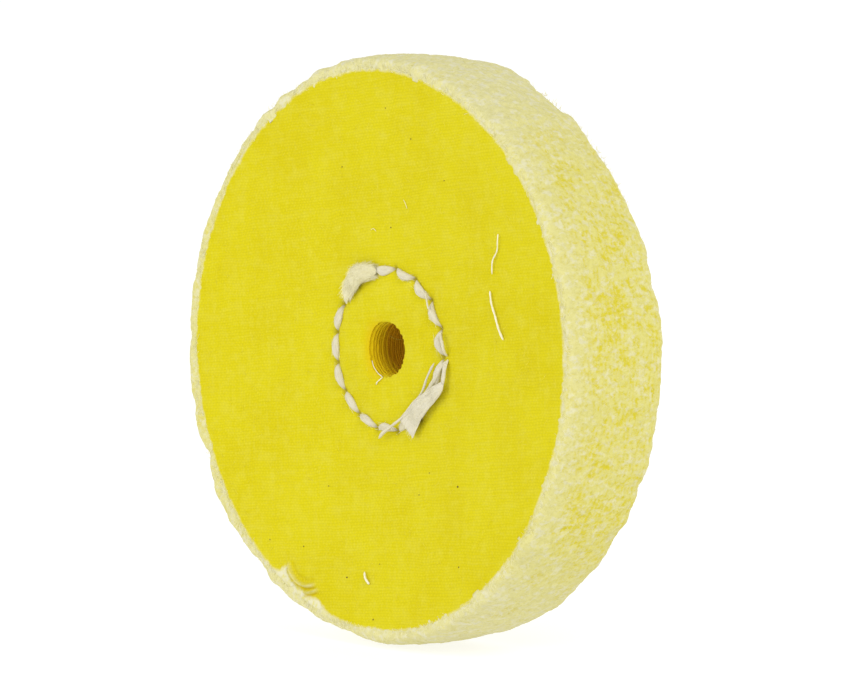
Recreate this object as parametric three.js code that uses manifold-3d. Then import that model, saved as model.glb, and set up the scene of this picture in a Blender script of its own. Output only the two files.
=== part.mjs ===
// A stitched cloth polishing wheel: round cotton plies sewn together by one ring of lockstitch.
// Millimetres. The origin is the wheel's centre, the spindle hole runs along Y,
// the front face looks towards -Y and +Z is up.
import * as THREE from 'three';
import { mergeVertices } from 'three/addons/utils/BufferGeometryUtils.js';
import ManifoldModule from 'manifold-3d';

const wasm = await ManifoldModule();
wasm.setup();
const { Manifold, Mesh } = wasm;

// Plies
const PLY_COUNT = 24;
const CLOTH = 0.44;          // thickness of one ply
const RIM_RADIUS = 49.8;     // the longest ply
const RIM_TRIM = 0.5;        // how much shorter the shortest ply is cut
const TRIM_STEP = 2.4;       // radians of a sine from one ply to the next, so their cuts look uneven
const RIM_WIDTH = 20.5;      // over all plies, where they are free to spread
const HUB_WIDTH = 12.3;      // over all plies, where the sewing squeezes them
const HUB_RADIUS = 19;       // end of the squeezed, flat hub
const BORE_RADIUS = 4.75;    // punched hole for a 9.5 mm spindle
const RIM_SIDES = 32;
const BORE_SIDES = 16;
const TURNS = 3;             // plies in a row whose rim corners don't line up

// Sewing: one ring of stitches, wider spaced over its last part
const STITCH_RADIUS = 14.0;
const FIRST_HOLE = 17.5;     // degrees, anticlockwise seen from the front, from +X
const CLOSE_STEP = 21.8;
const WIDE_STEP = 26.1;
const CLOSE_STITCHES = 12;
const WIDE_STITCHES = 3;     // the stitch after these closes the ring
const HOLE_REACH = 0.95;     // centre to corner of a three-sided needle hole
const LEG_REACH = 0.6;       // centre to corner of the twisted strands that pass through it
const BEAD_WIDTH = 1.7;
const BEAD_HEIGHT = 1.0;
const BEAD_OVERLAP = 0.4;    // how far two beads run into each other over a needle hole
const SEAT = 0.05;           // clearance between the cloth and a thread that lies on it
const LOCK_GAP = 0.15;       // half the space between the two threads at the middle of the wheel

// Loose thread ends on the front
const TUFT = { angle: 122, radius: 13.6, length: 10.6, width: 3.2, height: 1.2 };
const TAIL = { from: [14.4, -5.3], to: [5.2, -13.0], narrow: 0.9, wide: 4.3, height: 0.7 };
const STRAND = { radius: 0.22, inside: [[12.1, -1.7], [10.5, -4.9], [8.3, -7.7], [5.3, -10.4]],
  over: [[2.0, -12.5], [-1.2, -15.6]] };

const YELLOW = 0xe1d427;
const UNDYED = 0xe9e4cf;

const middle = (PLY_COUNT - 1) / 2;
const hubPitch = (HUB_WIDTH - CLOTH) / (PLY_COUNT - 1);
const rimPitch = (RIM_WIDTH - CLOTH) / (PLY_COUNT - 1);
const rad = THREE.MathUtils.degToRad;

// A closed three.js geometry as a solid that can be joined and cut
function solid(geometry) {
  const bare = new THREE.BufferGeometry();
  bare.setAttribute('position', geometry.getAttribute('position').clone());
  bare.setIndex(geometry.getIndex());
  const welded = mergeVertices(bare, 1e-4);
  const mesh = new Mesh({
    numProp: 3,
    vertProperties: new Float32Array(welded.getAttribute('position').array),
    triVerts: new Uint32Array(welded.getIndex().array),
  });
  mesh.merge();
  return new Manifold(mesh);
}

// A cut or joined solid as a geometry with flat faces
function geometryOf(body) {
  const mesh = body.getMesh();
  const indexed = new THREE.BufferGeometry();
  indexed.setAttribute('position', new THREE.BufferAttribute(new Float32Array(mesh.vertProperties), 3));
  indexed.setIndex(new THREE.BufferAttribute(new Uint32Array(mesh.triVerts), 1));
  const flat = indexed.toNonIndexed();
  flat.computeVertexNormals();
  return flat;
}

// A named mesh with the look of soft cotton
function cotton(name, color, geometry) {
  const material = new THREE.MeshStandardMaterial({ color, roughness: 0.95, metalness: 0 });
  const mesh = new THREE.Mesh(geometry, material);
  mesh.name = name;
  return mesh;
}

// Angles of the needle holes, in degrees
function holeAngles() {
  const angles = [FIRST_HOLE];
  for (let i = 1; i <= CLOSE_STITCHES + WIDE_STITCHES; i++) {
    angles.push(angles[i - 1] + (i <= CLOSE_STITCHES ? CLOSE_STEP : WIDE_STEP));
  }
  return angles;
}

// A point on the stitch ring at a height y along the spindle
function onRing(degrees, y) {
  return new THREE.Vector3(STITCH_RADIUS * Math.cos(rad(degrees)), y, STITCH_RADIUS * Math.sin(rad(degrees)));
}

// A three-sided post along Y at each needle hole, from y = low to y = high
function postsAtHoles(reach, low, high) {
  return holeAngles().map((degrees) => {
    const post = new THREE.CylinderGeometry(reach, reach, high - low, 3);
    post.rotateY(-rad(degrees));
    const at = onRing(degrees, (low + high) / 2);
    post.translate(at.x, at.y, at.z);
    return solid(post);
  });
}

// One round ply: flat at the hub, then leaning outwards to its place in the wider rim
function plyDisc(index) {
  const hubY = (index - middle) * hubPitch;
  const rimY = (index - middle) * rimPitch;
  const radius = RIM_RADIUS - RIM_TRIM * Math.abs(Math.sin(TRIM_STEP * index));
  const profile = [
    [0, hubY - CLOTH / 2], [HUB_RADIUS, hubY - CLOTH / 2], [radius, rimY - CLOTH / 2],
    [radius, rimY + CLOTH / 2], [HUB_RADIUS, hubY + CLOTH / 2], [0, hubY + CLOTH / 2],
  ].map(([r, y]) => new THREE.Vector2(r, y));
  const turn = (index % TURNS) * (2 * Math.PI / RIM_SIDES / TURNS);
  return solid(new THREE.LatheGeometry(profile, RIM_SIDES, turn));
}

// Everything that is punched or pierced through the stack
function piercings() {
  const bore = solid(new THREE.CylinderGeometry(BORE_RADIUS, BORE_RADIUS, 2 * HUB_WIDTH, BORE_SIDES));
  return Manifold.union([bore, ...postsAtHoles(HOLE_REACH, -HUB_WIDTH, HUB_WIDTH)]);
}

// The thread of one side: a bead between each two holes and a leg down each hole to the middle
function stitchThread(side) {
  const angles = holeAngles();
  const crown = HUB_WIDTH / 2 + SEAT + BEAD_HEIGHT / 2;
  const beads = angles.map((from, i) => {
    const to = i + 1 < angles.length ? angles[i + 1] : angles[0] + 360;
    const chord = onRing(from, 0).distanceTo(onRing(to, 0));
    const bead = new THREE.SphereGeometry(0.5, 6, 5);
    bead.scale(BEAD_WIDTH, chord + BEAD_OVERLAP, BEAD_HEIGHT);
    bead.rotateX(Math.PI / 2);
    const sag = STITCH_RADIUS * Math.cos(rad(to - from) / 2);
    bead.translate(sag, side * crown, 0);
    bead.rotateY(-rad((from + to) / 2));
    return solid(bead);
  });
  const ends = [side * LOCK_GAP, side * crown].sort((a, b) => a - b);
  return Manifold.union([...beads, ...postsAtHoles(LEG_REACH, ends[0], ends[1])]);
}

// The frayed tuft where the sewing started and was sewn over
function tuft() {
  const lump = new THREE.SphereGeometry(0.5, 10, 7);
  lump.scale(TUFT.width, TUFT.height, TUFT.length);
  lump.rotateY(-rad(TUFT.angle));
  const lift = HUB_WIDTH / 2 + 2 * SEAT + BEAD_HEIGHT + TUFT.height / 2;
  lump.translate(TUFT.radius * Math.cos(rad(TUFT.angle)), -lift, TUFT.radius * Math.sin(rad(TUFT.angle)));
  return lump;
}

// The cut end of the needle thread, untwisted into a flat fan that lies across the stitches
function threadTail() {
  const [dx, dz] = [TAIL.to[0] - TAIL.from[0], TAIL.to[1] - TAIL.from[1]];
  const fan = new THREE.CylinderGeometry(TAIL.wide / 2, TAIL.narrow / 2, Math.hypot(dx, dz), 12);
  fan.scale(1, 1, TAIL.height / TAIL.wide);
  fan.rotateX(Math.PI / 2);
  fan.rotateY(Math.atan2(dx, dz));
  const lift = HUB_WIDTH / 2 + 2 * SEAT + BEAD_HEIGHT + TAIL.height / 2;
  fan.translate((TAIL.from[0] + TAIL.to[0]) / 2, -lift, (TAIL.from[1] + TAIL.to[1]) / 2);
  return fan;
}

// A fine loose strand that lies inside the ring and crosses over it at its far end
function looseStrand() {
  const low = HUB_WIDTH / 2 + SEAT + STRAND.radius;
  const high = low + BEAD_HEIGHT + SEAT;
  const points = [
    ...STRAND.inside.map(([x, z]) => new THREE.Vector3(x, -low, z)),
    ...STRAND.over.map(([x, z]) => new THREE.Vector3(x, -high, z)),
  ];
  const section = new THREE.Shape(polygon(STRAND.radius, 6));
  const extrudePath = new THREE.CatmullRomCurve3(points);
  return new THREE.ExtrudeGeometry(section, { steps: 18, bevelEnabled: false, extrudePath });
}

// The corners of a regular polygon round the origin
function polygon(reach, sides) {
  const turns = Array.from({ length: sides }, (_, i) => (2 * Math.PI * i) / sides);
  return turns.map((turn) => new THREE.Vector2(reach * Math.cos(turn), reach * Math.sin(turn)));
}

const wheel = new THREE.Group();
wheel.name = 'polishing_wheel';

const pierced = piercings();
for (let i = 0; i < PLY_COUNT; i++) {
  const name = `ply_${String(i + 1).padStart(2, '0')}`;
  wheel.add(cotton(name, YELLOW, geometryOf(plyDisc(i).subtract(pierced))));
}
wheel.add(cotton('needle_thread', UNDYED, geometryOf(stitchThread(-1))));
wheel.add(cotton('bobbin_thread', UNDYED, geometryOf(stitchThread(1))));
wheel.add(cotton('stitch_tuft', UNDYED, tuft()));
wheel.add(cotton('thread_tail', UNDYED, threadTail()));
wheel.add(cotton('loose_strand', UNDYED, looseStrand()));

export default wheel;
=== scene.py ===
"""The looks of a stitched cloth polishing wheel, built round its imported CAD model.

Metres, in the CAD frame: the spindle hole runs along Y, the front face looks towards -Y, +Z is up.
Angles on the wheel are anticlockwise seen from the front, from +X.
"""

import math

import bpy
import numpy as np
from mathutils import Matrix, Vector


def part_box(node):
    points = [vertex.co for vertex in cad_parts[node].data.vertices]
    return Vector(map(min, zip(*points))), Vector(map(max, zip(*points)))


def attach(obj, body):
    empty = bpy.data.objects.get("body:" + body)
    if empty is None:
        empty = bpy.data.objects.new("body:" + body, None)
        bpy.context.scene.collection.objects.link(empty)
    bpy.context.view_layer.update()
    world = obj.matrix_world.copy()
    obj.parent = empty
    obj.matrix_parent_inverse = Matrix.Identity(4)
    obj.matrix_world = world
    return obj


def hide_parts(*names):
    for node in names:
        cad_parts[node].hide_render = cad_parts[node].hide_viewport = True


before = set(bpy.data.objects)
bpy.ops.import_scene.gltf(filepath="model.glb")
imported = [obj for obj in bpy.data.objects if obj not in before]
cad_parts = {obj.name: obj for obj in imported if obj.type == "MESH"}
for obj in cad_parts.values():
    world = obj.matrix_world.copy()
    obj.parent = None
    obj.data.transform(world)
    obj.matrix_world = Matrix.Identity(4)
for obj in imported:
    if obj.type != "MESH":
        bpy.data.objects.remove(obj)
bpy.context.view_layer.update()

MM = 0.001

# ---- sizes

PLIES = sorted(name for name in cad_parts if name.startswith("ply_"))
FRONT_LOW, FRONT_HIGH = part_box(PLIES[0])
CLOTH = 0.44 * MM
BORE = 4.75 * MM            # radius of the spindle hole
HUB = 19 * MM               # radius of the squeezed, flat hub
RIM = FRONT_HIGH.x          # radius of the rim
HALF_RIM = -FRONT_LOW.y     # half the width at the rim
HALF_HUB = CLOTH - FRONT_HIGH.y  # half the width at the hub
RIM_PITCH = 2 * HALF_RIM / len(PLIES)

STITCH_RADIUS = 14.0 * MM
FIRST_HOLE = 17.5
CLOSE_STEP = 21.8
WIDE_STEP = 26.1
HOLES = [FIRST_HOLE + CLOSE_STEP * i for i in range(13)]
HOLES += [HOLES[-1] + WIDE_STEP * i for i in range(1, 4)]

PLY_EDGE = RIM - 1.4 * MM   # outside this a ply is only loose yarn ends
NAP_ROOT = 47.2 * MM        # where the fray comes out from under the outer plies
EDGE_DIP = 0.30 * MM        # how far the edges of the outer plies dip under the fray
NAP_SQUARENESS = 0.34       # power of the fray's section: 1 is round, towards 0 is square
NAP_TURNS = 1300            # points round the fray
PLY_TURNS = {-1: 800, 0: 200, 1: 560}  # points round the front ply, an inner one and the rear one
WEAVE_TURN = 5.5            # degrees, the weft against the horizontal
WEFT_PITCH = 0.49 * MM
WARP_PITCH = 0.39 * MM

# The curled fold in the front ply's edge, lower left: an arc round a centre of its own
FOLD_CENTRE = (-17.85 * MM, -37.0 * MM)
FOLD_RADIUS = 5.17 * MM
# Where the rim stands out or falls in: degrees, width in degrees, front (-1) or rear (1) edge,
# height in millimetres
RIM_BUMPS = ((-160, 26, -1, 1.0), (-142, 5, -1, 0.8), (-155, 3.5, -1, -0.9), (-118, 16, -1, 0.3),
             (-15, 30, 1, 1.1), (6, 8, 1, 0.4), (58, 12, 1, -0.2))
# Where the dyed face ends round the fold: degrees on the wheel, and radius in millimetres
FOLD_FRAY = ((-124.5, 47.9), (-122.0, 47.3), (-121.3, 46.0), (-120.7, 45.3), (-120.0, 46.2), (-117.5, 47.1),
             (-113.3, 46.9), (-111.6, 47.4), (-107.9, 46.5), (-105.1, 47.5), (-103.0, 47.9))


# ---- seeded noise

NOISE_VALUES = 8192
HASH_PRIMES = (73856093, 19349663, 83492791)


def value_noise(points, cell, seed):
    """One smooth random value from -1 to 1 for each point, changing over about one cell."""
    table = np.random.default_rng(seed).uniform(-1, 1, NOISE_VALUES)
    scaled = np.asarray(points, float) / cell
    base = np.floor(scaled).astype(np.int64)
    part = scaled - base
    part = part * part * (3 - 2 * part)
    total = np.zeros(len(scaled))
    for corner in np.ndindex(2, 2, 2):
        at = base + corner
        key = np.bitwise_xor.reduce(at * HASH_PRIMES, axis=1)
        weight = np.prod(np.where(corner, part, 1 - part), axis=1)
        total += weight * table[key % NOISE_VALUES]
    return total


def layered_noise(points, cell, seed, layers=3):
    """Value noise in several layers, each half the size of the one before."""
    total = np.zeros(len(points))
    for i in range(layers):
        total += value_noise(points, cell / 2**i, seed + i) / 2**i
    return total / (2 - 2.0 ** (1 - layers))


# ---- mesh helpers

def show(name, data):
    """A new object in the scene."""
    thing = bpy.data.objects.new(name, data)
    bpy.context.scene.collection.objects.link(thing)
    return thing


def mesh_object(name, vertices, faces, material, smooth=True):
    """A new object from quads or triangles."""
    mesh = bpy.data.meshes.new(name)
    corners = faces.shape[1]
    mesh.vertices.add(len(vertices))
    mesh.vertices.foreach_set("co", np.asarray(vertices, np.float32).ravel())
    mesh.loops.add(faces.size)
    mesh.loops.foreach_set("vertex_index", np.asarray(faces, np.int32).ravel())
    mesh.polygons.add(len(faces))
    mesh.polygons.foreach_set("loop_start", np.arange(0, faces.size, corners, dtype=np.int32))
    mesh.update(calc_edges=True)
    mesh.validate()
    mesh.polygons.foreach_set("use_smooth", np.full(len(mesh.polygons), smooth))
    mesh.materials.append(material)
    return show(name, mesh)


def mesh_piece(name, vertices, faces, material, smooth=True):
    """A new piece of the wheel, riding on its one body."""
    piece = mesh_object(name, vertices, faces, material, smooth)
    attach(piece, "root")
    return piece


def set_attribute(piece, name, values):
    """A value for each vertex that the material can read."""
    layer = piece.data.attributes.new(name, "FLOAT", "POINT")
    layer.data.foreach_set("value", np.asarray(values, np.float32).ravel())


def grid_faces(rows, columns, close_rows):
    """Quads between rings of points. Each row is a closed ring, and close_rows joins last to first."""
    i = np.arange(rows if close_rows else rows - 1)[:, None]
    j = np.arange(columns)[None, :]
    down = (i + 1) % rows
    right = (j + 1) % columns
    corners = [i * columns + j, down * columns + j, down * columns + right, i * columns + right]
    return np.stack([np.broadcast_to(c, (len(i), columns)) for c in corners], -1).reshape(-1, 4)


def outward(vertices, faces):
    """The same faces, turned so that they enclose a positive volume."""
    a, b, c = (vertices[faces[:, k]] for k in range(3))
    volume = np.einsum("ij,ij->", a, np.cross(b, c))
    if faces.shape[1] == 4:
        volume += np.einsum("ij,ij->", a, np.cross(c, vertices[faces[:, 3]]))
    return faces if volume > 0 else faces[:, ::-1]


def circle(count):
    """Angles at equal steps once round."""
    return np.linspace(0, 2 * np.pi, count, endpoint=False)


def unit(vectors):
    """The vectors at length 1."""
    return vectors / (np.linalg.norm(vectors, axis=-1, keepdims=True) + 1e-12)


def share_of(value):
    """The value kept between 0 and 1."""
    return np.clip(value, 0, 1)


def polar(radius, angle, y):
    """Points from radius, angle in radians and height along the spindle."""
    return np.stack([radius * np.cos(angle), y, radius * np.sin(angle)], -1)


def resample(points, spacing):
    """A line's points again, at equal steps of about the spacing."""
    steps = np.linalg.norm(np.diff(points, axis=0), axis=1)
    along = np.concatenate([[0], np.cumsum(steps)])
    wanted = np.linspace(0, along[-1], max(2, int(round(along[-1] / spacing)) + 1))
    return np.stack([np.interp(wanted, along, column) for column in points.T], -1)


# ---- how the cloth lies

def hump(value, middle, width):
    """A bell curve of height 1."""
    return np.exp(-(((value - middle) / width) ** 2))


def lean(radius):
    """0 in the squeezed hub, rising smoothly to 1 at the rim."""
    soft = 1.6 * MM
    return soft * np.logaddexp(0, (radius - HUB) / soft) / (RIM - HUB)


def near_holes(radius, angle, reach):
    """1 at a needle hole, falling off over the reach."""
    total = np.zeros(np.broadcast(radius, angle).shape)
    for degrees in HOLES:
        turn = np.deg2rad(degrees)
        squared = radius**2 + STITCH_RADIUS**2 - 2 * radius * STITCH_RADIUS * np.cos(angle - turn)
        total += np.exp(-squared / (2 * reach**2))
    return total


def squeeze(radius, angle):
    """The share by which the sewing and the punch press the stack thinner."""
    groove = 0.012 * hump(radius, STITCH_RADIUS, 1.7 * MM)
    dimples = 0.045 * near_holes(radius, angle, 0.95 * MM)
    pillow = -0.06 * hump(radius, 8 * MM, 4 * MM)
    pressed_side = share_of(-np.cos(angle))
    lip = (0.02 + 0.10 * pressed_side) * hump(radius, BORE, 1.9 * MM)
    gathers = near_holes(radius, angle, 2.6 * MM) - near_holes(radius, angle + np.deg2rad(11), 2.6 * MM)
    return groove + dimples + pillow + lip + 0.010 * gathers


def ripple(radius, angle):
    """The waves that all the plies share near the rim, in metres."""
    grown = share_of((radius - 20 * MM) / (RIM - 20 * MM)) ** 1.5
    wave = 0.5 * np.sin(3 * angle + 0.6) + 0.35 * np.sin(7 * angle + 2.1) + 0.25 * np.sin(13 * angle + 4.0)
    return 0.22 * MM * grown * wave


def face_height(radius, angle):
    """The front cloth's surface as a positive distance from the wheel's middle."""
    flat = HALF_HUB + (HALF_RIM - HALF_HUB) * lean(radius)
    return flat * (1 - squeeze(radius, angle))


def front_point(x, z, lift):
    """A point over the front cloth, from x and z in millimetres and a lift in millimetres."""
    radius, angle = np.hypot(x, z) * MM, np.arctan2(z, x)
    y = ripple(radius, angle) - face_height(radius, angle)
    return np.array([x * MM, y - lift * MM, z * MM])


def fold_place(radius, angle):
    """Distance outwards from the fold's crease in millimetres, and the turn round its centre in degrees."""
    x = radius * np.cos(angle) - FOLD_CENTRE[0]
    z = radius * np.sin(angle) - FOLD_CENTRE[1]
    return (np.hypot(x, z) - FOLD_RADIUS) / MM, np.degrees(np.arctan2(z, x))


def window(value, low, high, soft):
    """1 between low and high, falling smoothly to 0 over the soft margin inside them."""
    share = share_of(np.minimum(value - low, high - value) / soft)
    return share * share * (3 - 2 * share)


# ---- materials

class Nodes:
    """A new material, with short calls for its nodes."""

    def __init__(self, name):
        self.material = bpy.data.materials.new(name)
        self.material.use_nodes = True
        self.tree = self.material.node_tree
        self.tree.nodes.clear()

    def add(self, kind, inputs=(), **settings):
        """A node with its settings made, and each input fed from a socket or with a value."""
        node = self.tree.nodes.new("ShaderNode" + kind)
        for key, value in settings.items():
            setattr(node, key, value)
        for socket, value in dict(inputs).items():
            if isinstance(value, bpy.types.NodeSocket):
                self.tree.links.new(value, node.inputs[socket])
            else:
                node.inputs[socket].default_value = value
        return node

    def math(self, operation, first, second=0.0, clamp=False):
        return self.add("Math", {0: first, 1: second}, operation=operation, use_clamp=clamp).outputs[0]

    def times(self, first, second):
        return self.math("MULTIPLY", first, second)

    def plus(self, first, second):
        return self.math("ADD", first, second)

    def position(self):
        return self.add("TexCoord").outputs["Object"]

    def axes(self, vector):
        return self.add("SeparateXYZ", {0: vector}).outputs

    def mapped(self, vector, scale=(1, 1, 1), rotation=(0, 0, 0)):
        inputs = {"Vector": vector, "Scale": scale, "Rotation": rotation}
        return self.add("Mapping", inputs).outputs[0]

    def noise(self, vector, size, detail=2.0, rough=0.5, distortion=0.0):
        inputs = {"Vector": vector, "Scale": 1 / size, "Detail": detail, "Roughness": rough,
                  "Distortion": distortion}
        return self.add("TexNoise", inputs, noise_type="FBM").outputs[0]

    def ranged(self, value, low, high, to_low=0.0, to_high=1.0):
        inputs = {"Value": value, "From Min": low, "From Max": high, "To Min": to_low, "To Max": to_high}
        return self.add("MapRange", inputs, interpolation_type="SMOOTHSTEP").outputs[0]

    def mix(self, factor, first, second, blend="MIX"):
        inputs = {0: factor, 6: first, 7: second}
        return self.add("Mix", inputs, data_type="RGBA", blend_type=blend).outputs[2]

    def ply_phase(self, where):
        """A phase that runs through one turn from ply to ply at the rim, unsteady as soft plies are."""
        sway = self.times(self.noise(where, 6 * MM), 3 * RIM_PITCH)
        return self.times(self.plus(self.axes(where)["Y"], sway), 2 * math.pi / RIM_PITCH)

    def attribute(self, name):
        return self.add("Attribute", attribute_name=name).outputs["Fac"]

    def bump(self, height, distance, strength, below=None):
        inputs = {"Height": height, "Distance": distance, "Strength": strength}
        if below is not None:
            inputs["Normal"] = below
        return self.add("Bump", inputs).outputs[0]

    def fabric(self, colour, normal, roughness, sheen, sheen_tint=(1, 1, 1, 1)):
        inputs = {"Base Color": colour, "Roughness": roughness, "Specular IOR Level": 0.08,
                  "Sheen Weight": sheen, "Sheen Roughness": 0.5, "Sheen Tint": sheen_tint}
        if normal is not None:
            inputs["Normal"] = normal
        shader = self.add("BsdfPrincipled", inputs)
        self.add("OutputMaterial", {0: shader.outputs[0]})
        return shader


# Colours of the cloth and its fray, of the thread and lint, and of the painted shade in the bore, on the fold
# and in the needle holes
YELLOW = (0.64, 0.56, 0.006, 1)
DEEP_YELLOW = (0.61, 0.52, 0.004, 1)
PALE_YELLOW = (0.67, 0.61, 0.060, 1)
CREAM = (0.70, 0.67, 0.46, 1)
PALE_FIBRE = (0.71, 0.69, 0.48, 1)
FRAY = (0.66, 0.61, 0.19, 1)
NAP_YELLOW = (0.65, 0.56, 0.035, 1)
COTTON = (0.67, 0.63, 0.50, 1)
COTTON_SHADE = (0.59, 0.54, 0.39, 1)
COTTON_CREAM = (0.69, 0.65, 0.40, 1)
SHADE_GOLD = (0.65, 0.46, 0.003, 1)
SHADE_BROWN = (0.51, 0.265, 0.003, 1)
PIT_SHADE = (0.26, 0.20, 0.025, 1)
LINT = (0.86, 0.82, 0.66, 1)
LINT_SHADE = (0.78, 0.73, 0.52, 1)
# Pieces too thin for a pattern have one colour each
PLAIN_COLOURS = {
    "fibre_cream": (0.76, 0.72, 0.42, 1),
    "fibre_white": (0.80, 0.78, 0.60, 1),
    "fibre_yellow": (0.72, 0.64, 0.09, 1),
    "fibre_cotton": (0.73, 0.69, 0.53, 1),
    "fibre_tuft": (0.86, 0.82, 0.58, 1),
    "fibre_dyed": (0.71, 0.64, 0.08, 1),
    "speck_brown": (0.16, 0.10, 0.03, 1),
}


def cloth_material(name, weave=True):
    """Dyed plain-woven cotton, pale where its edge frays, with painted shade between its yarns, gold and
    brown painted shade in the bore and on the fold, and painted shade in the needle holes.
    """
    n = Nodes(name)
    where = n.position()
    turned = n.mapped(where, rotation=(0, math.radians(WEAVE_TURN), 0))
    sway = n.noise(where, 5 * MM, detail=1.0)
    drift = n.times(n.math("SUBTRACT", sway, 0.5), 0.9 * MM)
    warp = n.math("SINE", n.times(n.plus(n.axes(turned)["X"], drift), math.pi / WARP_PITCH))
    weft = n.math("SINE", n.times(n.plus(n.axes(turned)["Z"], drift), math.pi / WEFT_PITCH))
    over = n.times(warp, weft)
    pillow = n.math("POWER", n.math("ABSOLUTE", over), 0.6)
    weft_up = n.ranged(over, -0.25, 0.25)

    slub_weft = n.noise(n.mapped(turned, scale=(0.06, 1, 1)), 0.5 * MM)
    slub_warp = n.noise(n.mapped(turned, scale=(1, 1, 0.06)), 0.42 * MM)
    slubs = n.plus(slub_weft, slub_warp)
    mottle = n.noise(where, 14 * MM, detail=4.0, rough=0.6)
    clouds = n.noise(where, 2.6 * MM, detail=4.0, rough=0.65)
    grain = n.noise(where, 0.42 * MM, detail=3.0, rough=0.7)

    colour = n.mix(n.ranged(mottle, 0.35, 0.7), YELLOW, DEEP_YELLOW)
    colour = n.mix(n.ranged(clouds, 0.45, 0.72, 0.0, 0.32), colour, PALE_YELLOW)
    colour = n.mix(n.ranged(slubs, 0.95, 1.30, 0.0, 0.25), colour, PALE_YELLOW)
    colour = n.mix(n.ranged(grain, 0.50, 0.75, 0.0, 0.45), colour, PALE_YELLOW)
    # Painted shade between the yarns, where the weave's bump is low; the weft and the grain also vary the
    # tone
    shade = n.ranged(pillow, 0.0, 0.75, 0.90, 1.0)
    shade = n.times(shade, n.ranged(weft_up, 0.0, 1.0, 0.965, 1.0))
    shade = n.times(shade, n.ranged(grain, 0.25, 0.5, 0.93, 1.0))
    colour = n.mix(1.0, colour, shade, "MULTIPLY")
    fray = n.noise(where, 0.8 * MM, detail=3.0, rough=0.6)
    colour = n.mix(n.attribute("fray"), colour, n.mix(n.ranged(fray, 0.4, 0.7), CREAM, FRAY))
    # Painted shade in gold, then brown: deep in the bore, on the dent at its -X side, and in the fold's
    # creases and hollow
    painted_shade = n.attribute("dark")
    colour = n.mix(n.ranged(painted_shade, 0.0, 0.5), colour, SHADE_GOLD)
    colour = n.mix(n.ranged(painted_shade, 0.4, 1.0), colour, SHADE_BROWN)
    # Painted shade in the needle holes
    colour = n.mix(n.attribute("pit"), colour, PIT_SHADE)

    tangle = n.noise(where, 0.35 * MM, detail=3.0, rough=0.7)
    normal = n.bump(pillow, 0.030 * MM, 0.5) if weave else None
    normal = n.bump(slubs, 0.04 * MM, 0.6, normal)
    normal = n.bump(tangle, 0.04 * MM, 0.5, normal)
    roughness = n.ranged(grain, 0.3, 0.7, 0.82, 0.95)
    n.fabric(colour, normal, roughness, 0.03, (1.0, 0.95, 0.4, 1))
    return n.material


def nap_material():
    """Frayed cotton ends: pale and soft, with dyed cloth showing through in spots."""
    n = Nodes("frayed_cotton")
    where = n.position()
    flow = n.mapped(where, scale=(1, 0.72, 1))
    spots = n.noise(flow, 0.80 * MM, detail=4.0, rough=0.66, distortion=0.25)
    patches = n.noise(where, 6 * MM)
    # Paler yarn ends at the front and rear edges, and painted light at the top and bottom of the rim
    pale = n.attribute("pale")
    # Yellower in the hollows between the clumps: painted shade
    dyed = n.plus(n.times(spots, 0.80), n.times(n.attribute("hollow"), 0.24))
    dyed = n.plus(dyed, n.times(patches, 0.32))
    dyed = n.math("SUBTRACT", dyed, n.times(pale, 0.13))
    dyed = n.plus(dyed, n.times(n.math("SINE", n.ply_phase(where)), 0.035))
    colour = n.mix(n.ranged(dyed, 0.60, 0.81), FRAY, NAP_YELLOW)
    wisps = n.noise(flow, 1.2 * MM, detail=4.0, rough=0.62, distortion=0.35)
    lighter = n.math("ADD", n.ranged(wisps, 0.46, 0.68, 0.0, 0.62),
                     n.times(pale, 0.40), clamp=True)
    colour = n.mix(lighter, colour, CREAM)
    fibres = n.noise(flow, 0.33 * MM, detail=3.0, rough=0.6, distortion=0.8)
    colour = n.mix(n.ranged(fibres, 0.55, 0.75, 0.0, 0.30), colour, PALE_FIBRE)
    colour = n.mix(n.ranged(fibres, 0.45, 0.25, 0.0, 0.20), colour, NAP_YELLOW)
    # Darker where the dyed spots are, and painted shade where the fibres' bump is low
    colour = n.mix(1.0, colour, n.ranged(spots, 0.35, 0.60, 1.0, 0.94), "MULTIPLY")
    colour = n.mix(1.0, colour, n.ranged(fibres, 0.30, 0.50, 0.90, 1.0), "MULTIPLY")
    normal = n.bump(wisps, 0.30 * MM, 0.45)
    normal = n.bump(fibres, 0.10 * MM, 0.35, normal)
    roughness = n.ranged(spots, 0.3, 0.7, 0.9, 1.0)
    n.fabric(colour, normal, roughness, 0.08, (1.0, 0.97, 0.7, 1))
    return n.material


def thread_material(name, light, shaded):
    """Soft undyed cotton thread, with its fibres along the strand."""
    n = Nodes(name)
    where = n.position()
    spread = n.add("CombineXYZ", {0: n.times(n.attribute("along"), 0.10), 1: n.attribute("around")})
    strands = n.noise(spread.outputs[0], 0.16 * MM, detail=4.0, rough=0.65, distortion=0.3)
    cloud = n.noise(where, 0.9 * MM)
    colour = n.mix(n.ranged(strands, 0.35, 0.62), shaded, light)
    colour = n.mix(n.ranged(cloud, 0.45, 0.7, 0.0, 0.35), colour, COTTON_CREAM)
    colour = n.mix(n.attribute("thin"), colour, COTTON_CREAM)
    # Painted shade where the thread goes into its needle holes
    colour = n.mix(n.attribute("pit"), colour, PIT_SHADE)
    normal = n.bump(strands, 0.09 * MM, 0.7)
    normal = n.bump(cloud, 0.10 * MM, 0.3, normal)
    roughness = n.ranged(strands, 0.3, 0.7, 0.95, 0.8)
    n.fabric(colour, normal, roughness, 0.1)
    return n.material


def plain_material(name, colour):
    """Matte cotton of one colour."""
    n = Nodes(name)
    n.fabric(colour, None, 0.9, 0.0)
    return n.material


# ---- the plies

def ply_levels(name):
    """The middle heights of a ply at the hub and at the rim."""
    low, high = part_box(name)
    if low.y + high.y < 0:
        return high.y - CLOTH / 2, low.y + CLOTH / 2
    return low.y + CLOTH / 2, high.y - CLOTH / 2


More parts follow.
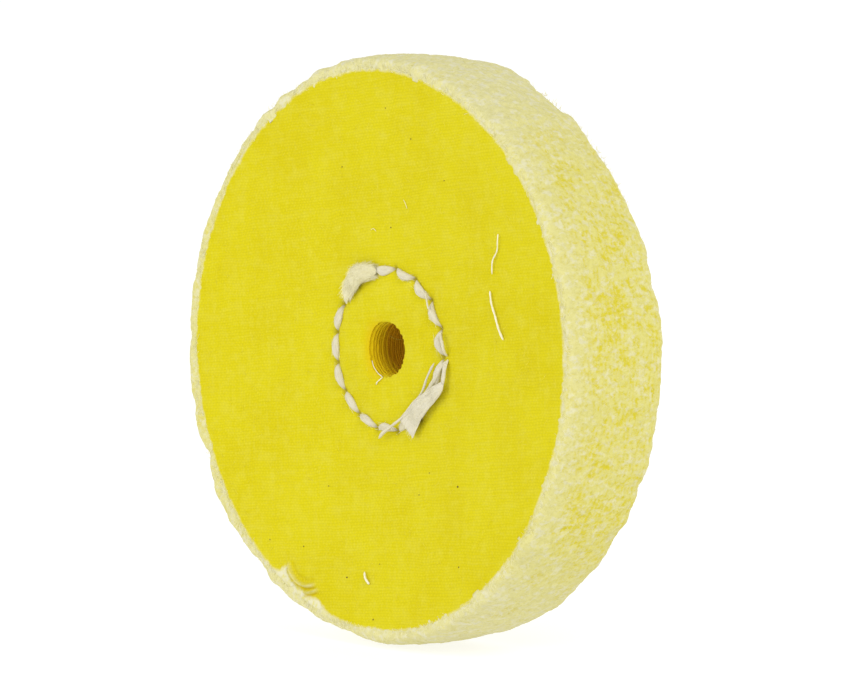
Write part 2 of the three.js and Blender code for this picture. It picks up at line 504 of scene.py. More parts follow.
def ply_radii(outer_face):
    """Radii of a ply's rings, closest where the cloth bends most. -1 is the front ply, 1 the rear."""
    if outer_face:
        lip = BORE + 2.2 * MM * np.linspace(0, 1, 14) ** 1.6
        spans = ((lip[-1], HUB, 56), (HUB, 39 * MM, 33), (39 * MM, PLY_EDGE, 64 if outer_face < 0 else 32))
    else:
        lip = BORE + MM * np.array([0, 0.12, 0.4, 1, 2.2])
        spans = ((lip[-1], HUB, 8), (HUB, PLY_EDGE, 11))
    steps = [np.linspace(start, end, count, endpoint=False) for start, end, count in spans]
    return np.concatenate([lip[:-1], *steps, [PLY_EDGE]])


def punched_edge(angle, index, coarse):
    """How far the cut yarns of a ply stand into the bore, in metres."""
    ring = polar(BORE, angle, 0 * angle + index * 7.3 * MM).reshape(-1, 3)
    ragged = 0.10 * layered_noise(ring, 0.9 * MM, 40 + index)
    notches = 0.22 * np.clip(value_noise(ring, 0.45 * MM, 60 + index), -0.2, 1) * coarse
    proud = 0.06 * math.sin(2.9 * index)
    return MM * (ragged + notches).reshape(angle.shape) + MM * proud


def slack(angle, index):
    """How far the front plies creep into the bore on its +X side, and are worn back on its -X side."""
    crept = 0.35 * share_of(np.cos(angle)) * math.exp(-index)
    worn = 0.80 * share_of(-np.cos(angle)) * math.exp(-index / 1.6)
    return MM * (crept - worn)


def bore_painted_shade(vertices, radius):
    """Painted shade on the punched wall: none at the front lip, brown further in where the lip shades it, and
    less so lower down where the light reaches deeper; plus painted shade on the dent at the bore's -X side.
    """
    depth = (vertices[:, 1] + HALF_HUB) / MM
    start = 3.9 - 0.32 * vertices[:, 2] / MM + 0.7 * value_noise(vertices, 1.6 * MM, 71)
    deep = share_of((depth - start) / 1.1)
    near_wall = np.exp(-(radius - BORE) / (0.35 * MM))
    # Painted shade where the cloth slopes into the bore on its -X side
    dent = 0.36 * hump(radius, BORE, 1.9 * MM) * share_of(-vertices[:, 0] / BORE)
    return dent + near_wall * share_of(0.11 + 0.09 * depth + 0.62 * deep)


def build_ply(index, name, material):
    """One round of cloth, squeezed in the hub, leaning out and waving towards the rim."""
    outer_face = -1 if index == 0 else 1 if index == len(PLIES) - 1 else 0
    radii = ply_radii(outer_face)
    turns = PLY_TURNS[outer_face]
    angle = circle(turns)[None, :]
    hub_y, rim_y = ply_levels(name)
    loop = np.concatenate([radii, radii[::-1]])[:, None]
    side = np.concatenate([-np.ones(len(radii)), np.ones(len(radii))])[:, None]
    r, a = np.broadcast_arrays(loop, angle)
    press = squeeze(r, a)
    thick = np.full(r.shape, CLOTH / 2)
    for edge in (radii[0], radii[-1]):
        thick = thick * (1 - 0.45 * np.exp(-np.abs(r - edge) / (0.12 * MM)))
    middle = (hub_y + (rim_y - hub_y) * lean(r)) * (1 - press) + ripple(r, a)
    y = middle + side * thick * (1 - press)
    near_bore = np.exp(-(r - BORE) / (0.4 * MM))
    out = r - near_bore * (punched_edge(a, index, 1.0 if outer_face else 0.3) + slack(a, index))
    if outer_face == -1:
        y = y + np.where(side < 0, front_details(r, a), 0)
    if outer_face:
        y = y - outer_face * EDGE_DIP * share_of((r - PLY_EDGE) / (0.6 * MM) + 1) ** 2
    vertices = polar(out, a, y).reshape(-1, 3)
    piece = mesh_piece(name.replace("ply", "cloth_ply"), vertices,
                       outward(vertices, grid_faces(len(loop), turns, True)), material)
    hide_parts(name)
    fray = fray_mask(vertices, r.ravel())
    dark = bore_painted_shade(vertices, r.ravel())
    if outer_face:
        # Where the needle holes' painted shade falls
        set_attribute(piece, "pit", share_of(0.8 * near_holes(r, a, 0.42 * MM).ravel()))
    if outer_face == -1:
        ridges, shadows, hollow = fold_lines(r, a)
        # Painted highlight along the fold's ridges, put in through the fray mask; painted shade in its
        # creases and its hollow, through the dark mask
        fray = fray + np.where(side < 0, 0.5 * ridges, 0).ravel()
        dark = dark + np.where(side < 0, 0.28 * shadows + 0.10 * hollow, 0).ravel()
    set_attribute(piece, "fray", share_of(fray))
    set_attribute(piece, "dark", share_of(dark))


def fold_lines(r, a):
    """How far a place on the front face belongs to the fold: ridges, their shadows and the hollow."""
    gap, turn = fold_place(r, a)
    first = window(turn, -168, -58, 16)
    second = window(turn, -99, -56, 12)
    ridges = first * hump(gap, 0, 0.28) + second * hump(gap, 1.15, 0.24)
    shadows = first * hump(gap, 0.50, 0.20) + second * hump(gap, 1.62, 0.22)
    hollow = first * hump(gap, -0.85, 0.5)
    return ridges, shadows, hollow


def front_details(r, a):
    """Shape of the front surface only: needle pits and the fold in its edge. Positive goes inwards."""
    ridges, shadows, hollow = fold_lines(r, a)
    pits = 0.35 * near_holes(r, a, 0.38 * MM)
    return (pits - 0.60 * ridges + 0.30 * shadows + 0.30 * hollow) * MM


def fray_mask(vertices, radius):
    """0 on dyed cloth, 1 where only pale yarn ends are left."""
    ragged = 0.60 * layered_noise(vertices, 4.0 * MM, 7) + 0.45 * layered_noise(vertices, 0.9 * MM, 17)
    degrees = np.degrees(np.arctan2(vertices[:, 2], vertices[:, 0]))
    turns, edges = np.array(FOLD_FRAY).T
    edge = np.interp(degrees, turns, edges) * MM
    return share_of(1.5 * (radius - edge) / MM + ragged + 0.5)


# ---- the frayed rim

def nap_section():
    """The frayed rim's outline from the front edge round to the rear edge, as radius and height."""
    turn = np.linspace(-np.pi / 2, np.pi / 2, 4001)
    reach = np.abs(np.cos(turn)) ** NAP_SQUARENESS
    rise = np.sign(turn) * np.abs(np.sin(turn)) ** NAP_SQUARENESS
    radius = NAP_ROOT + (RIM + 0.1 * MM - NAP_ROOT) * reach
    height = (HALF_RIM + 0.12 * MM) * rise * (1 - 0.065 * (1 - reach))
    return resample(np.stack([radius, height], -1), 0.24 * MM)


def rim_swell(angle, y):
    """How the rim departs from a true cylinder, in metres: crowned in the middle and a little askew."""
    across = y / HALF_RIM
    crown = 0.75 * (1 - across**2) * (0.6 + 0.4 * np.sin(angle) ** 2)
    askew = -0.16 * (1 + across) * np.sin(angle)
    lobes = 0.10 * np.sin(5 * angle + 0.9) + 0.08 * np.sin(13 * angle + 3.0)
    bumps = np.zeros(np.broadcast(angle, y).shape)
    for degrees, width, edge, height in RIM_BUMPS:
        away = np.degrees(np.angle(np.exp(1j * (angle - np.deg2rad(degrees))))) / width
        bumps += height * np.exp(-(away**2) - ((across - edge) / 0.9) ** 2)
    return MM * (crown + askew + lobes + bumps)


def build_nap(material):
    """The soft rim that the frayed edges of all the plies make together."""
    section = nap_section()
    slope = np.gradient(section, axis=0)
    normal = unit(np.stack([slope[:, 1], -slope[:, 0]], -1))
    angle = circle(NAP_TURNS)[None, :]
    r, a = np.broadcast_arrays(section[:, :1], angle)
    y = np.broadcast_to(section[:, 1:], r.shape)
    base = polar(r, a, y).reshape(-1, 3)
    swell = 0.20 * layered_noise(base * (1, 0.5, 1), 7 * MM, 101, 2)
    at_edges = 0.3 + 0.7 * share_of((np.abs(base[:, 1]) / HALF_RIM - 0.5) / 0.4)
    swell = swell + 0.50 * at_edges * value_noise(base * (1, 0.4, 1), 3.0 * MM, 141)
    clumps = 0.22 * (0.5 - np.abs(layered_noise(base * (0.8, 0.8, 0.8), 1.7 * MM, 111, 2)) * 1.6)
    fluff = 0.12 * layered_noise(base, 0.85 * MM, 121, 2)
    lift = (swell + clumps + fluff).reshape(r.shape) * MM
    keep = np.clip((r - NAP_ROOT) / (1.6 * MM), 0.35, 1)
    ragged = 0.45 * MM * layered_noise(base, 1.0 * MM, 151, 2).reshape(r.shape) * (1 - keep)
    out = r + (normal[:, :1] * lift + rim_swell(a, y)) * keep
    across = y + normal[:, 1:] * lift * keep + np.sign(y) * ragged + ripple(r, a)
    inner = nap_inside(section, angle)
    vertices = np.concatenate([polar(out, a, across), inner]).reshape(-1, 3)
    faces = outward(vertices, grid_faces(len(section) + len(inner), NAP_TURNS, True))
    piece = mesh_piece("frayed_rim", vertices, faces, material)
    # Painted shade: the hollows between the clumps are made yellower
    hollow = np.zeros(len(vertices))
    hollow[: len(base)] = share_of(0.5 - 1.6 * (clumps + fluff))
    set_attribute(piece, "hollow", hollow)
    front_edge = 0.55 * share_of((-vertices[:, 1] / MM - 4.0) / 5.5)
    rear_edge = 0.40 * share_of((vertices[:, 1] / MM - 8.6) / 1.6)
    # Painted light: the top and bottom of the rim are made paler
    painted_light_poles = share_of((np.abs(vertices[:, 2]) / RIM - 0.62) / 0.30)
    set_attribute(piece, "pale", share_of(front_edge + rear_edge + painted_light_poles))
    return polar(out, a, across), np.broadcast_to(normal[:, None, :], r.shape + (2,)), a


def nap_inside(section, angle):
    """Rings that close the rim's body on its inner side."""
    width = section[-1, 1] - 0.5 * MM
    shallow, deep = NAP_ROOT + 0.9 * MM, NAP_ROOT + 1.6 * MM
    rings = ((shallow, width), (deep, 0.5 * width), (deep, -0.5 * width), (shallow, -width))
    return np.stack([polar(r, angle[0], 0 * angle[0] + y) for r, y in rings])


# ---- loose fibres

def frames_along(path):
    """Two unit vectors across a line at each of its points. path has the shape fibres, points, 3."""
    tangent = unit(np.gradient(path, axis=1))
    helper = np.where(np.abs(tangent[..., 1:2]) < 0.9, [0.0, 1.0, 0.0], [1.0, 0.0, 0.0])
    first = unit(np.cross(tangent, helper))
    return first, np.cross(tangent, first)


def fibre_mesh(path, radius, sides=3):
    """Thin tubes along many lines at once, closed to a point at each end."""
    fibres, points, _ = path.shape
    first, second = frames_along(path)
    turn = 2 * np.pi * np.arange(sides) / sides
    taper = np.interp(np.linspace(0, 1, points), [0, 0.15, 0.8, 1], [0.5, 1, 0.9, 0.15])
    size = (radius[:, None] * taper)[..., None, None]
    ring = (np.cos(turn)[:, None] * first[..., None, :] + np.sin(turn)[:, None] * second[..., None, :]) * size
    vertices = (path[..., None, :] + ring).reshape(-1, 3)
    row = np.arange(points - 1)[:, None]
    spoke = np.arange(sides)[None, :]
    following = (spoke + 1) % sides
    quads = np.stack([row * sides + spoke, row * sides + following,
                      (row + 1) * sides + following, (row + 1) * sides + spoke], -1).reshape(-1, 4)
    start = (np.arange(fibres) * points * sides)[:, None, None]
    return vertices, (quads[None] + start).reshape(-1, 4)


def fibre_piece(name, path, radius, material):
    """Thin tubes along many lines as one piece."""
    vertices, faces = fibre_mesh(path, radius)
    mesh_piece(name, vertices, faces, material, smooth=False)


def curly_paths(roots, along, lift_axis, length, curl, lift, seed):
    """Wandering lines from their roots: along is each one's first direction, curl how much it bends."""
    rng = np.random.default_rng(seed)
    count, points = len(roots), 6
    step = length[:, None] / (points - 1)
    side = np.cross(lift_axis, along)
    bend = rng.normal(0, curl, (count, points - 1)).cumsum(axis=1) * 0.6 + rng.normal(0, curl, (count, 1))
    heading = np.cos(bend)[..., None] * along[:, None, :] + np.sin(bend)[..., None] * side[:, None, :]
    rise = rng.normal(0, 1, (count, points - 1)).cumsum(axis=1) * lift * 0.4 + lift
    heading = heading + rise[..., None] * lift_axis[:, None, :]
    moves = heading * step[..., None]
    return np.concatenate([roots[:, None, :], roots[:, None, :] + moves.cumsum(axis=1)], axis=1)


def face_roots(radius, angle, side, lift):
    """Points just over the front (-1) or rear (1) cloth, and the directions away from it."""
    height = face_height(radius, angle) + lift
    return polar(radius, angle, side * height + ripple(radius, angle)), side[:, None] * [0.0, 1.0, 0.0]


# Short fibres on the rim: tone and number
RIM_FIBRES = (("cream", 3400), ("white", 700), ("yellow", 2800))


def build_rim_fibres(surface, section_normal, angle, plain):
    """Short curled cotton fibres that lie on the rim, in three tones."""
    rows, turns, _ = surface.shape
    outwards = unit(polar(section_normal[..., 0], angle, section_normal[..., 1]))
    for seed, (tone, count) in enumerate(RIM_FIBRES):
        rng = np.random.default_rng(500 + seed)
        i = rng.integers(2, rows - 2, count)
        j = rng.integers(0, turns, count)
        root = surface[i, j] - outwards[i, j] * 0.05 * MM
        up = outwards[i, j]
        along = unit(np.cross(up, unit(rng.normal(0, 1, (count, 3)))))
        length = rng.uniform(0.4, 1.1, count) * MM
        lift = np.where(rng.random(count) < 0.02, 0.15, -0.03)[:, None]
        path = curly_paths(root, along, up, length, 0.30, lift, 600 + seed)
        thickness = rng.uniform(0.016, 0.028, count) * MM
        fibre_piece("rim_fibres_" + tone, path, thickness, plain["fibre_" + tone])


def build_fringe(material):
    """Pale yarn ends that stand out past the dyed cloth, round both faces."""
    rng = np.random.default_rng(700)
    count = 3200
    angle = rng.uniform(0, 2 * np.pi, count)
    side = np.where(rng.random(count) < 0.5, -1.0, 1.0)
    radius = rng.uniform(47.5, 48.9, count) * MM
    root, up = face_roots(radius, angle, side, 0.03 * MM)
    heading = angle + rng.normal(0, 0.6, count)
    length = rng.uniform(0.4, 1.3, count) * MM
    path = curly_paths(root, polar(1, heading, 0 * heading), up, length, 0.45, 0.0, 710)
    fibre_piece("fringe_yarn_ends", path, rng.uniform(0.022, 0.04, count) * MM, material)


# ---- the sewing

def strand_body(path, half_width, half_height, across, up, turns=20):
    """A soft strand of changing width and height along a line, with lengthwise measures for its fibres."""
    ring = circle(turns)[None, :, None]
    width = half_width[:, None, None] * np.cos(ring) * across[:, None, :]
    height = half_height[:, None, None] * np.sin(ring) * up[:, None, :]
    vertices = (path[:, None, :] + width + height).reshape(-1, 3)
    steps = np.linalg.norm(np.diff(path, axis=0), axis=1)
    along = np.repeat(np.concatenate([[0], np.cumsum(steps)]), turns)
    around = (half_width[:, None] * ring[..., 0]).ravel()
    faces = grid_faces(len(path), turns, False)
    middle = len(path) // 2
    tangent = path[middle + 1] - path[middle]
    if np.dot(np.cross(tangent, up[middle]), across[middle]) < 0:
        faces = faces[:, ::-1]
    return vertices, faces, along, around


def stitch_bead(start, end, side, rng):
    """One stitch over the cloth, from needle hole to needle hole, as path, widths and axes."""
    share = np.linspace(0, 1, 30)
    swell = np.sin(np.pi * share) ** 0.72
    skew = rng.uniform(-0.3, 0.3)
    swell = swell * (1 + skew * (share - 0.5))
    angle = np.deg2rad(start + (end - start) * (0.03 + 0.94 * share))
    inwards = rng.uniform(0.35, 0.60) * MM
    radius = STITCH_RADIUS - inwards * np.sin(np.pi * share) + rng.uniform(-0.08, 0.08) * MM
    half_width = (0.08 + rng.uniform(0.62, 0.80) * swell) * MM
    half_height = (0.08 + rng.uniform(0.40, 0.50) * swell) * MM
    sink = 0.62 * MM * (1 - swell.clip(0, 1)) ** 2.5
    surface = face_height(radius, angle)
    path = polar(radius, angle, side * (surface + 0.55 * half_height - sink) + ripple(radius, angle))
    across = polar(1, angle, 0 * angle)
    up = 0 * path + [0, side, 0]
    return path, half_width, half_height, across, up


def joined(parts):
    """Several bodies' vertices and faces as one, and whatever measures follow them."""
    points, faces, *measures = zip(*parts)
    starts = np.cumsum([0] + [len(p) for p in points])
    faces = np.concatenate([f + start for f, start in zip(faces, starts)])
    return np.concatenate(points), faces, *map(np.concatenate, measures)


def thread_piece(name, parts, material, node=None):
    """Strand bodies joined into one piece that stands for a CAD node."""
    vertices, faces, along, around = joined(parts)
    lumps = layered_noise(vertices, 0.5 * MM, 811)
    push = np.concatenate([unit(part[0] - part[0].mean(axis=0)) for part in parts])
    vertices = vertices + push * (0.05 * MM * lumps)[:, None]
    piece = mesh_piece(name, vertices, faces, material)
    set_attribute(piece, "along", along)
    set_attribute(piece, "around", around)
    if node:
        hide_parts(node)
    return piece


def build_stitches(material, fuzz):
    """The ring of lockstitch: needle thread on the front, bobbin thread on the rear."""
    ends = list(zip(HOLES, HOLES[1:] + [HOLES[0] + 360]))
    sides = (("front_stitches", "needle_thread", -1, 21), ("rear_stitches", "bobbin_thread", 1, 22))
    for name, node, side, seed in sides:
        rng = np.random.default_rng(seed)
        beads = [stitch_bead(*holes, side, rng) for holes in ends]
        piece = thread_piece(name, [strand_body(*bead) for bead in beads], material, node)
        points = np.empty(len(piece.data.vertices) * 3, np.float32)
        piece.data.vertices.foreach_get("co", points)
        x, _, z = points.reshape(-1, 3).T
        # Where the needle holes' painted shade falls on the thread
        close = near_holes(np.hypot(x, z), np.arctan2(z, x), 0.35 * MM)
        set_attribute(piece, "pit", share_of(0.9 * close))
        paths = np.concatenate([bead_fuzz(bead, rng, 46) for bead in beads])
        fibre_piece(name + "_fuzz", paths, np.full(len(paths), 0.016 * MM), fuzz)


def bead_fuzz(bead, rng, count, length=(0.5, 1.5), lift=0.10):
    """Lines of fine fibres that lie along a strand and stand a little off it."""
    path, half_width, half_height, across, up = bead
    at = rng.integers(2, len(path) - 8, count)
    turn = rng.uniform(0, 2 * np.pi, count)
    root = path[at] + across[at] * (half_width[at] * np.cos(turn))[:, None] * 0.98
    root = root + up[at] * (half_height[at] * np.sin(turn))[:, None] * 0.98
    along = unit(np.gradient(path, axis=0)[at]) * np.where(rng.random(count) < 0.5, -1, 1)[:, None]
    away = unit(across[at] * np.cos(turn)[:, None] + up[at] * np.sin(turn)[:, None])
    reach = rng.uniform(*length, count) * MM
    return curly_paths(root, along, away, reach, 0.25, lift, int(rng.integers(1e6)))


def line_on_face(points, spacing=0.25):
    """A smooth line over the front cloth through points given as x, z and lift in millimetres."""
    dense = resample(smooth_line(np.array(points, float)), spacing)
    return np.array([front_point(x, z, lift) for x, z, lift in dense])


def smooth_line(points, steps=12):
    """A Catmull-Rom curve through the points."""
    padded = np.concatenate([2 * points[:1] - points[1:2], points, 2 * points[-1:] - points[-2:-1]])
    t = np.linspace(0, 1, steps, endpoint=False)[:, None]
    pieces = []
    for p0, p1, p2, p3 in zip(padded, padded[1:], padded[2:], padded[3:]):
        pieces.append(0.5 * (2 * p1 + (p2 - p0) * t + (2 * p0 - 5 * p1 + 4 * p2 - p3) * t**2
                             + (3 * p1 - p0 - 3 * p2 + p3) * t**3))
    return np.concatenate(pieces + [points[-1:]])


def flat_axes(path):
    """Directions across a line that lies on the front face, and away from the face."""
    tangent = unit(np.gradient(path, axis=0))
    up = 0 * path + [0, -1, 0]
    return unit(np.cross(tangent, up)), up


def build_tuft(material, fuzz):
    """The fluffy start of the sewing, over two stitches at the upper left: full at the top, thin below."""
    path = line_on_face([(-2.5, 13.3, 0.5), (-4.4, 13.3, 1.0), (-6.8, 12.6, 1.2), (-8.8, 11.0, 1.1),
                         (-9.9, 9.2, 0.9), (-10.5, 7.5, 0.4)])
    share = np.linspace(0, 1, len(path))
    half_width = np.interp(share, [0, 0.03, 0.1, 0.22, 0.42, 0.65, 0.85, 1],
                           [0.1, 0.6, 1.15, 1.6, 1.95, 1.6, 0.9, 0.2]) * MM
    half_height = np.interp(share, [0, 0.05, 0.3, 0.6, 0.85, 1], [0.05, 0.35, 0.75, 0.7, 0.45, 0.1]) * MM
    across, up = flat_axes(path)
    body = (path, half_width, half_height, across, up)
    core = (path, 0.88 * half_width, 0.90 * half_height, across, up)
    piece = thread_piece("thread_tuft", [strand_body(*core, turns=48)], material, "stitch_tuft")
    set_attribute(piece, "thin", np.full(len(piece.data.vertices), 0.7))
    rng = np.random.default_rng(31)
    count = 2400
    paths = bead_fuzz(body, rng, count, (0.7, 2.0), 0.12)
    start = paths[:, :1]
    paths = start + (paths - start) * 0.9 - unit(start - start.mean(axis=0)) * 0.2 * MM
    fibre_piece("thread_tuft_fuzz", paths, rng.uniform(0.010, 0.017, count) * MM, fuzz)


# The tail's two strands, as x, z and lift in millimetres with a half width, and the fan's middle line
TAIL_ROOTS = (
    ([(15.3, -0.9, -0.1), (15.5, -2.2, 0.7), (15.4, -3.8, 0.9), (15.2, -5.3, 1.0)], 0.42),
    ([(14.7, -1.3, 0.0), (14.1, -2.6, 0.7), (13.2, -4.1, 0.8), (11.9, -5.5, 0.8), (10.8, -6.6, 0.8)], 0.36),
)
TAIL_FAN = [(15.3, -4.9, 1.1), (14.6, -5.9, 1.3), (12.7, -7.1, 1.35), (10.4, -8.8, 1.3), (7.9, -10.8, 1.2),
            (5.9, -13.2, 1.0)]


def lengthwise_fibres(path, half_width, half_height, across, up, rng, count, end_spread):
    """Fibres that run along a flat strand just over its surface, uneven where they leave its end."""
    offset = rng.uniform(-1, 1, count)
    level = rng.uniform(0.3, 1.0, count)
    first = rng.integers(0, len(path) // 2, count)
    last = np.minimum(len(path) - 1, first + rng.integers(len(path) // 3, len(path), count))
    at = (first[:, None] + (last - first)[:, None] * np.linspace(0, 1, 8)).astype(int)
    lines = path[at] + across[at] * (offset[:, None] * half_width[at])[..., None]
    rounding = np.sqrt(share_of(1 - offset**2))
    lines = lines + up[at] * ((rounding * level)[:, None] * half_height[at] * 1.05)[..., None]
    past = unit(lines[:, -1] - lines[:, -2]) * (rng.exponential(end_spread, count) * MM)[:, None]
    lines[:, -1] += past * (last == len(path) - 1)[:, None]
    lines[:, 1:-1] += rng.normal(0, 0.035 * MM, lines[:, 1:-1].shape)
    return lines


def build_tail(material, fuzz):
    """The end of the thread: two strands out of the last hole, folded over into a flat ragged fan."""
    rng = np.random.default_rng(32)
    bodies = []
    for points, width in TAIL_ROOTS:
        path = line_on_face(points)
        share = np.linspace(0, 1, len(path))
        size = width * MM * np.interp(share, [0, 0.1, 0.7, 1], [0.4, 0.8, 1.0, 0.7])
        bodies.append((path, size, 0.6 * size, *flat_axes(path)))
    path = line_on_face(TAIL_FAN)
    share = np.linspace(0, 1, len(path))
    half_width = np.interp(share, [0, 0.05, 0.15, 0.5, 0.8, 1], [0.4, 0.75, 1.10, 1.60, 2.00, 2.35]) * MM
    half_height = np.interp(share, [0, 0.1, 0.5, 0.97, 1], [0.15, 0.42, 0.36, 0.20, 0.03]) * MM
    bodies.append((path, half_width, half_height, *flat_axes(path)))
    strands = [strand_body(*body, turns=36) for body in bodies]
    thread_piece("thread_tail_fan", strands, material, "thread_tail")
    lines = [lengthwise_fibres(*body, rng, 90, 0.0) for body in bodies[:2]]
    lines = np.concatenate([*lines, lengthwise_fibres(*bodies[2], rng, 620, 0.30)])
    thickness = rng.uniform(0.015, 0.026, len(lines)) * MM
    fibre_piece("thread_tail_fibres", lines, thickness, fuzz)


def fine_strand(name, points, radius, material, node=None, thicker_end=1.0):
    """A thin loose thread over the front face."""
    path = line_on_face(points)
    share = np.linspace(0, 1, len(path))
    size = radius * MM * np.interp(share, [0, 0.04, 0.7, 0.97, 1], [0.2, 0.9, 1, thicker_end, 0.3])
    size = size * (1 + 0.15 * np.sin(37 * share))
    thread_piece(name, [strand_body(path, size, size, *flat_axes(path), turns=10)], material, node)


# The strand beside the tail: x, z and lift in millimetres
TAIL_STRAND = [(12.6, -1.6, 0.5), (11.3, -4.0, 0.8), (9.9, -6.8, 0.9), (7.0, -9.7, 0.7),
               (4.2, -11.9, 1.2), (1.0, -13.8, 1.5), (-1.0, -15.3, 1.2)]
# Short threads on the front: points as x, z and lift, and radius, all in millimetres
LOOSE_THREADS = {
    "strand_beside_bead": ([(10.6, 10.2, 0.9), (11.1, 9.0, 1.2), (11.5, 7.8, 1.1), (11.9, 6.9, 0.5)], 0.17),
    "strand_over_bead": ([(14.3, 3.6, 0.9), (15.1, 2.0, 1.0), (15.4, 0.6, 0.9), (15.3, -0.4, 0.2)], 0.26),
    "lint_upper": ([(31.0, 20.8, 0.35), (30.9, 19.4, 0.5), (30.4, 17.9, 0.3), (29.2, 16.2, 0.45),
                    (28.7, 14.0, 0.3)], 0.12),
    "lint_middle": ([(27.9, 11.2, 0.3), (28.4, 9.1, 0.45), (29.3, 7.1, 0.4), (30.4, 4.9, 0.5),
                     (31.4, 3.2, 0.3)], 0.17),
    "lint_lower": ([(-2.9, -38.4, 0.3), (-2.3, -39.4, 0.5), (-1.3, -40.4, 0.35)], 0.20),
    "bore_lip_thread": ([(-4.6, -2.1, 0.05), (-3.9, -3.2, 0.15), (-2.7, -4.2, 0.1),
                         (-1.4, -4.8, 0.05)], 0.07),
    "bore_lip_end": ([(-1.3, -4.8, 0.05), (-1.8, -5.3, 0.3), (-2.3, -5.7, 0.3), (-2.7, -6.2, 0.1)], 0.10),
    "faint_fibre_upper": ([(-4.0, 20.4, 0.1), (-3.2, 20.7, 0.2), (-2.6, 20.2, 0.1)], 0.04),
    "faint_fibre_right": ([(5.3, 25.9, 0.1), (5.9, 25.2, 0.2), (6.1, 24.3, 0.1)], 0.04),
}


def build_strands(material, lint, dyed):
    """The loose strand beside the tail, the ends by the bore and the lint on the face."""
    fine_strand("strand_by_tail", TAIL_STRAND, 0.20, material, "loose_strand", 1.7)
    for name, (points, radius) in LOOSE_THREADS.items():
        fine_strand(name, points, radius, lint if "bead" not in name else material)
    wall = smooth_line(MM * np.array([(-4.3, -1.8, 1.9), (-4.45, -0.9, 1.5), (-4.5, 0.1, 1.3),
                                      (-4.4, 0.8, 1.2)]))
    size = np.full(len(wall), 0.035 * MM)
    along = unit(np.gradient(wall, axis=0))
    inwards = 0 * wall + [1, 0, 0]
    strand = strand_body(wall, size, size, np.cross(along, inwards), inwards, turns=8)
    thread_piece("fibre_in_bore", [strand], dyed)


# Specks on the front: x, z and radius in millimetres
SPECKS = ((19.6, -22.1, 0.16), (21.6, -35.4, 0.11), (-14.3, -24.5, 0.12), (-27.8, -34.9, 0.12),
          (-19.3, -35.4, 0.13), (0.6, -36.8, 0.10), (-7.6, -39.8, 0.14), (11.5, -20.4, 0.10),
          (9.2, -24.3, 0.10), (0.3, -46.3, 0.14), (3.0, 41.4, 0.10), (8.9, 36.2, 0.12),
          (-9.9, 31.2, 0.10), (1.2, 21.0, 0.12), (16.8, 29.3, 0.10))


def speck(x, z, size, rng):
    """One flat crumb of dirt or seed husk on the front cloth."""
    rise = np.linspace(0, np.pi, 6)[:, None]
    turn = circle(8)[None, :]
    reach = size * MM * (1 + rng.uniform(-0.25, 0.25, (6, 8)))
    stretch = rng.uniform(0.8, 1.6)
    points = np.stack([reach * stretch * np.sin(rise) * np.cos(turn), reach * 0.45 * np.cos(rise) + 0 * turn,
                       reach * np.sin(rise) * np.sin(turn)], -1).reshape(-1, 3)
    return points + front_point(x, z, 0.02), grid_faces(6, 8, False)


def build_specks(material):
    """The few dark specks on the front cloth."""
    rng = np.random.default_rng(41)
    vertices, faces = joined([speck(x, z, size, rng) for x, z, size in SPECKS])
    mesh_piece("dust_specks", vertices, outward(vertices, faces), material)


def build_face_fuzz(material):
    """Sparse short fibres that lie on the front and rear cloth."""
    rng = np.random.default_rng(51)
    count = 1500
    radius = np.sqrt(rng.uniform((5.5 * MM) ** 2, (46.5 * MM) ** 2, count))
    angle = rng.uniform(0, 2 * np.pi, count)
    side = np.where(rng.random(count) < 0.6, -1.0, 1.0)
    root, up = face_roots(radius, angle, side, 0.02 * MM)
    turn = rng.uniform(0, 2 * np.pi, count)
    along = polar(1, turn, 0 * turn)
    length = rng.uniform(0.4, 1.6, count) * MM
    path = curly_paths(root, along, up, length, 0.4, 0.10, 52)
    fibre_piece("face_fuzz", path, rng.uniform(0.012, 0.022, count) * MM, material)


# ---- the studio

FLOOR_TURNS = 96            # points round the floor


def build_floor():
    """A pale round floor that curves up to a wall on every side."""
    share = np.linspace(0, 1, 25)[1:]
    radius = np.concatenate([[0.001, 0.02, 0.3, 0.8, 1.4], 1.4 + 0.8 * np.sin(share * np.pi / 2), [2.2]])
    height = np.concatenate([[0, 0, 0, 0, 0], 0.8 * (1 - np.cos(share * np.pi / 2)), [1.5]])
    angle = circle(FLOOR_TURNS)[None, :]
    r, a = np.broadcast_arrays(radius[:, None], angle)
    z = np.broadcast_to(height[:, None] - RIM - 1.4 * MM, r.shape)
    vertices = np.stack([r * np.cos(a), r * np.sin(a), z], -1).reshape(-1, 3)
    n = Nodes("floor_paper")
    tone = n.ranged(n.noise(n.position(), 0.2), 0.3, 0.7)
    shader = n.fabric(n.mix(tone, (0.34, 0.34, 0.34, 1), (0.36, 0.36, 0.36, 1)), None, 0.95, 0.0)
    shader.inputs["Emission Color"].default_value = (1, 1, 1, 1)
    shader.inputs["Emission Strength"].default_value = 0.74
    floor = mesh_object("floor", vertices, grid_faces(len(radius), FLOOR_TURNS, False)[:, ::-1], n.material)


def area_light(name, place, size, power):
    """A large soft lamp that points at the wheel."""
    lamp = bpy.data.lights.new(name, "AREA")
    lamp.shape = "DISK"
    lamp.size = size
    lamp.energy = power
    holder = show(name, lamp)
    holder.location = place
    holder.rotation_euler = Vector(place).to_track_quat("Z", "Y").to_euler()


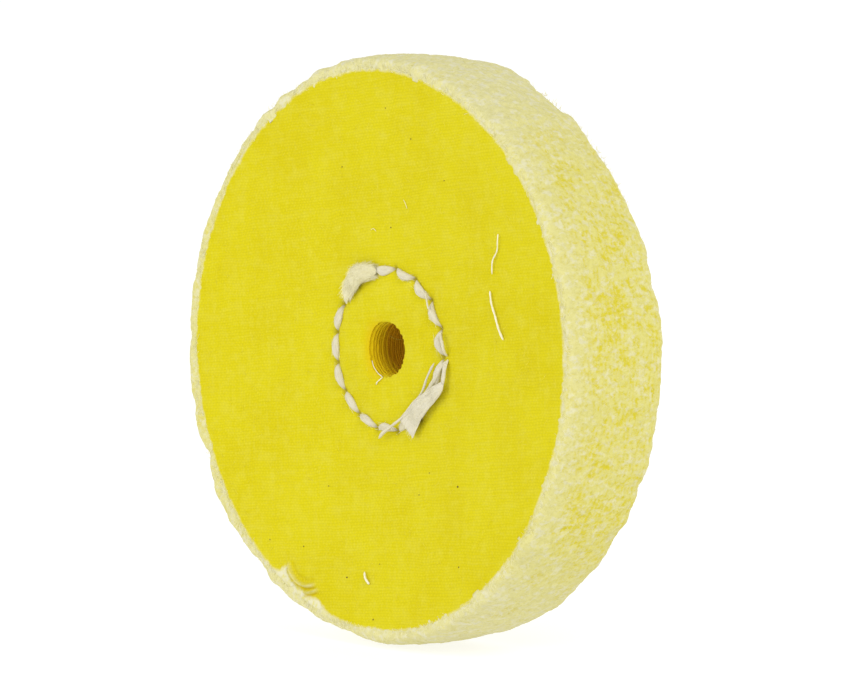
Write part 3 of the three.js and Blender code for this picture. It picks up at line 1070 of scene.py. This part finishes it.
def build_lights():
    """Even white light from all round, a little stronger from the upper right of the camera."""
    world = bpy.data.worlds.new("studio")
    world.use_nodes = True
    background = world.node_tree.nodes["Background"]
    background.inputs["Color"].default_value = (1, 1, 1, 1)
    background.inputs["Strength"].default_value = 0.56
    bpy.context.scene.world = world
    area_light("key", (1.05, -0.42, 0.80), 0.5, 5.8)
    area_light("fill", (-0.35, -1.15, 0.45), 0.9, 3.8)
    area_light("back", (0.10, 1.15, 0.75), 0.9, 2.2)


def build_camera():
    """The camera, at the photograph's angle."""
    azimuth, elevation, distance = math.radians(48.69), math.radians(3.73), 0.7
    back = Vector((math.sin(azimuth) * math.cos(elevation), -math.cos(azimuth) * math.cos(elevation),
                   math.sin(elevation)))
    right = Vector((math.cos(azimuth), math.sin(azimuth), 0))
    up = back.cross(right)
    lens = bpy.data.cameras.new("camera")
    lens.sensor_width = 36
    lens.lens = 171.76
    lens.shift_x = 0.01218
    lens.shift_y = -0.00233
    lens.clip_start = 0.01
    camera = show("camera", lens)
    turn = Matrix((right, up, back)).transposed().to_4x4()
    camera.matrix_world = Matrix.Translation(back * distance) @ turn
    bpy.context.scene.camera = camera


# ---- the whole wheel

def build_wheel():
    """Every piece of the wheel."""
    woven = cloth_material("treated_cloth")
    cut = cloth_material("treated_cloth_inner", weave=False)
    thread = thread_material("cotton_thread", COTTON, COTTON_SHADE)
    lint = thread_material("cotton_lint", LINT, LINT_SHADE)
    plain = {name: plain_material(name, colour) for name, colour in PLAIN_COLOURS.items()}
    for index, name in enumerate(PLIES):
        build_ply(index, name, cut if 0 < index < len(PLIES) - 1 else woven)
    surface, normals, angle = build_nap(nap_material())
    build_rim_fibres(surface, normals, angle, plain)
    build_fringe(plain["fibre_cream"])
    build_stitches(thread, plain["fibre_cotton"])
    build_tuft(thread, plain["fibre_tuft"])
    build_tail(thread, plain["fibre_cotton"])
    build_strands(thread, lint, plain["fibre_yellow"])
    build_face_fuzz(plain["fibre_dyed"])
    build_specks(plain["speck_brown"])


build_wheel()
build_floor()
build_lights()
build_camera()
bpy.context.scene.view_settings.view_transform = "Standard"
